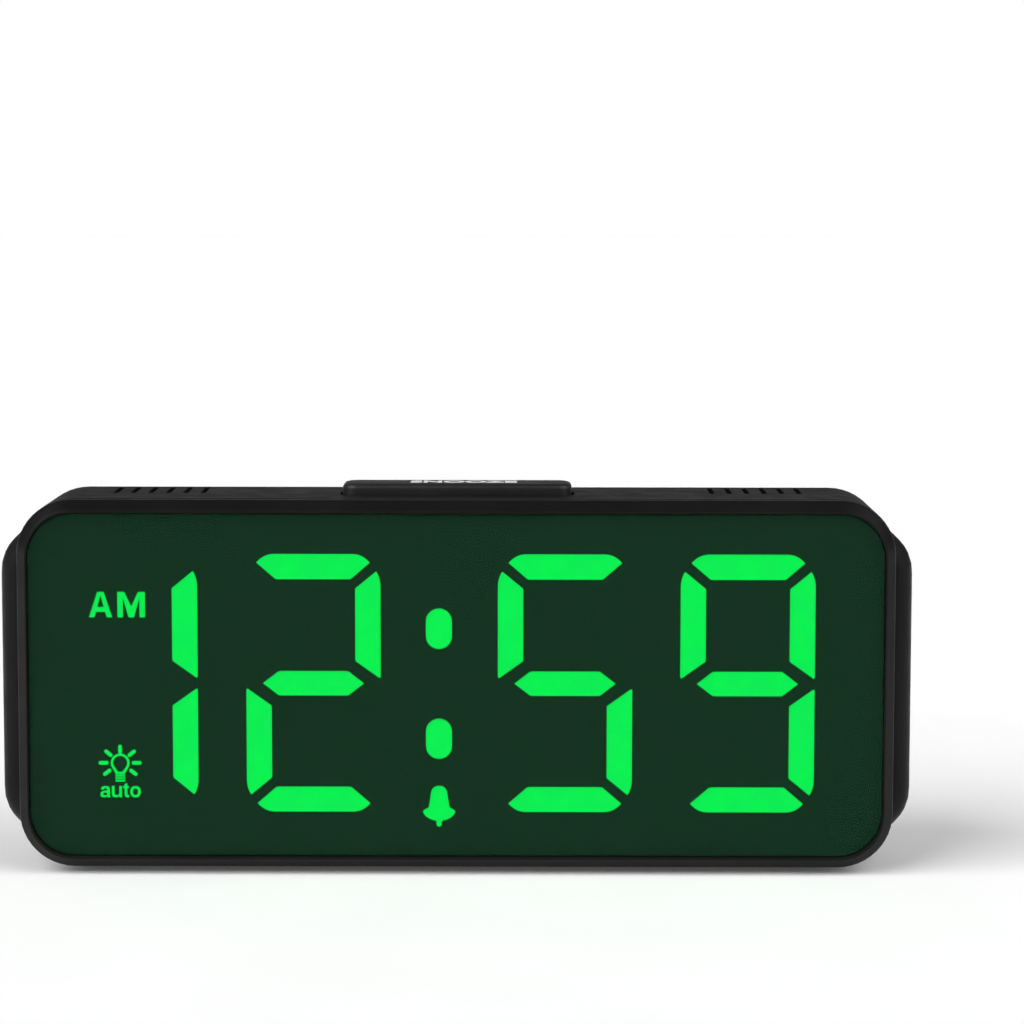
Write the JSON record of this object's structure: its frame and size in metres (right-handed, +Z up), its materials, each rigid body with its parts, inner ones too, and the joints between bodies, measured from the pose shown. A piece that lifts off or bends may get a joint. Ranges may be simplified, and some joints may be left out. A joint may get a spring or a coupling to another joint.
{
  "type": "digital alarm clock",
  "caption": "Compact digital alarm clock with a green lit display, a snooze bar on top, cheeks at the sides, and controls and a battery bay behind.",
  "frame": {"origin": "under the middle of the clock, on the surface it stands on", "axes": "+X to the viewer's right, -Y out of the display towards the viewer, +Z up"},
  "size_m": [0.138, 0.032, 0.0586],
  "materials": {
    "black_plastic": "fine moulded texture, satin",
    "display_lens": "polished tinted acrylic",
    "display_filter": "dark green film",
    "mask_black": "moulded",
    "light_guide": "translucent, lit green",
    "circuit_board": "solder mask",
    "light_sensor": "clear amber resin",
    "ribbon": "flat cable",
    "rubber": "matt",
    "dark_plastic": "moulded",
    "switch_metal": "stamped",
    "steel": "plated",
    "contact_metal": "nickel plated",
    "speaker_paper": "pressed paper",
    "cell_jacket": "plain printed sleeve"
  },
  "bodies": {
    "housing": {"alarm_switch": "switch_metal", "battery_1": "cell_jacket", "battery_2": "cell_jacket", "battery_3": "cell_jacket", "board_screw_left": "steel", "board_screw_right": "steel", "case_body": "black_plastic", "contact_link_left": "contact_metal", "contact_link_right": "contact_metal", "contact_negative": "contact_metal", "contact_positive": "contact_metal", "cover_screw_1": "steel", "cover_screw_2": "steel", "cover_screw_3": "steel", "cover_screw_4": "steel", "display_board": "circuit_board", "display_filter": "display_filter", "display_lens": "display_lens", "foot_1": "rubber", "foot_2": "rubber", "foot_3": "rubber", "foot_4": "rubber", "front_bezel": "black_plastic", "light_guide": "light_guide", "light_sensor": "light_sensor", "main_board": "circuit_board", "power_board": "circuit_board", "power_socket": "steel", "rear_cover": "black_plastic", "ribbon_cable": "ribbon", "segment_mask": "mask_black", "snooze_board": "circuit_board", "snooze_spring_left": "steel", "snooze_spring_right": "steel", "snooze_switch": "switch_metal", "speaker_basket": "dark_plastic", "speaker_cone": "speaker_paper", "speaker_magnet": "steel", "switch_alarm": "switch_metal", "switch_down": "switch_metal", "switch_time": "switch_metal", "switch_up": "switch_metal", "volume_switch": "switch_metal"},
    "snooze": {"snooze_button": "black_plastic", "snooze_plunger": "dark_plastic"},
    "alarm_slider": {"alarm_knob": "black_plastic"},
    "volume_slider": {"volume_knob": "black_plastic"},
    "door": {"battery_door": "black_plastic"},
    "time_key": {"button_time": "black_plastic", "plunger_time": "dark_plastic"},
    "alarm_key": {"button_alarm": "black_plastic", "plunger_alarm": "dark_plastic"},
    "up_key": {"button_up": "black_plastic", "plunger_up": "dark_plastic"},
    "down_key": {"button_down": "black_plastic", "plunger_down": "dark_plastic"}
  },
  "joints": [
    {"name": "snooze_press", "type": "slide", "parent": "housing", "child": "snooze", "axis": [0, 0, -1], "range_m": [0, 0.001], "stiffness_N_per_m": 900, "springref_m": -0.0006, "deforming": ["snooze_spring_left", "snooze_spring_right"]},
    {"name": "time_press", "type": "slide", "parent": "housing", "child": "time_key", "axis": [0, -1, 0], "range_m": [0, 0.0005], "stiffness_N_per_m": 1600, "springref_m": -0.0003},
    {"name": "alarm_press", "type": "slide", "parent": "housing", "child": "alarm_key", "axis": [0, -1, 0], "range_m": [0, 0.0005], "stiffness_N_per_m": 1600, "springref_m": -0.0003},
    {"name": "up_press", "type": "slide", "parent": "housing", "child": "up_key", "axis": [0, -1, 0], "range_m": [0, 0.0005], "stiffness_N_per_m": 1600, "springref_m": -0.0003},
    {"name": "down_press", "type": "slide", "parent": "housing", "child": "down_key", "axis": [0, -1, 0], "range_m": [0, 0.0005], "stiffness_N_per_m": 1600, "springref_m": -0.0003},
    {"name": "alarm_slide", "type": "slide", "parent": "housing", "child": "alarm_slider", "axis": [1, 0, 0], "range_m": [0, 0.003]},
    {"name": "volume_slide", "type": "slide", "parent": "housing", "child": "volume_slider", "axis": [1, 0, 0], "range_m": [0, 0.003]},
    {"name": "door_swing", "type": "hinge", "parent": "housing", "child": "door", "pos_m": [0, 0.015, 0.011], "axis": [-1, 0, 0], "range_deg": [0, 80]}
  ]
}
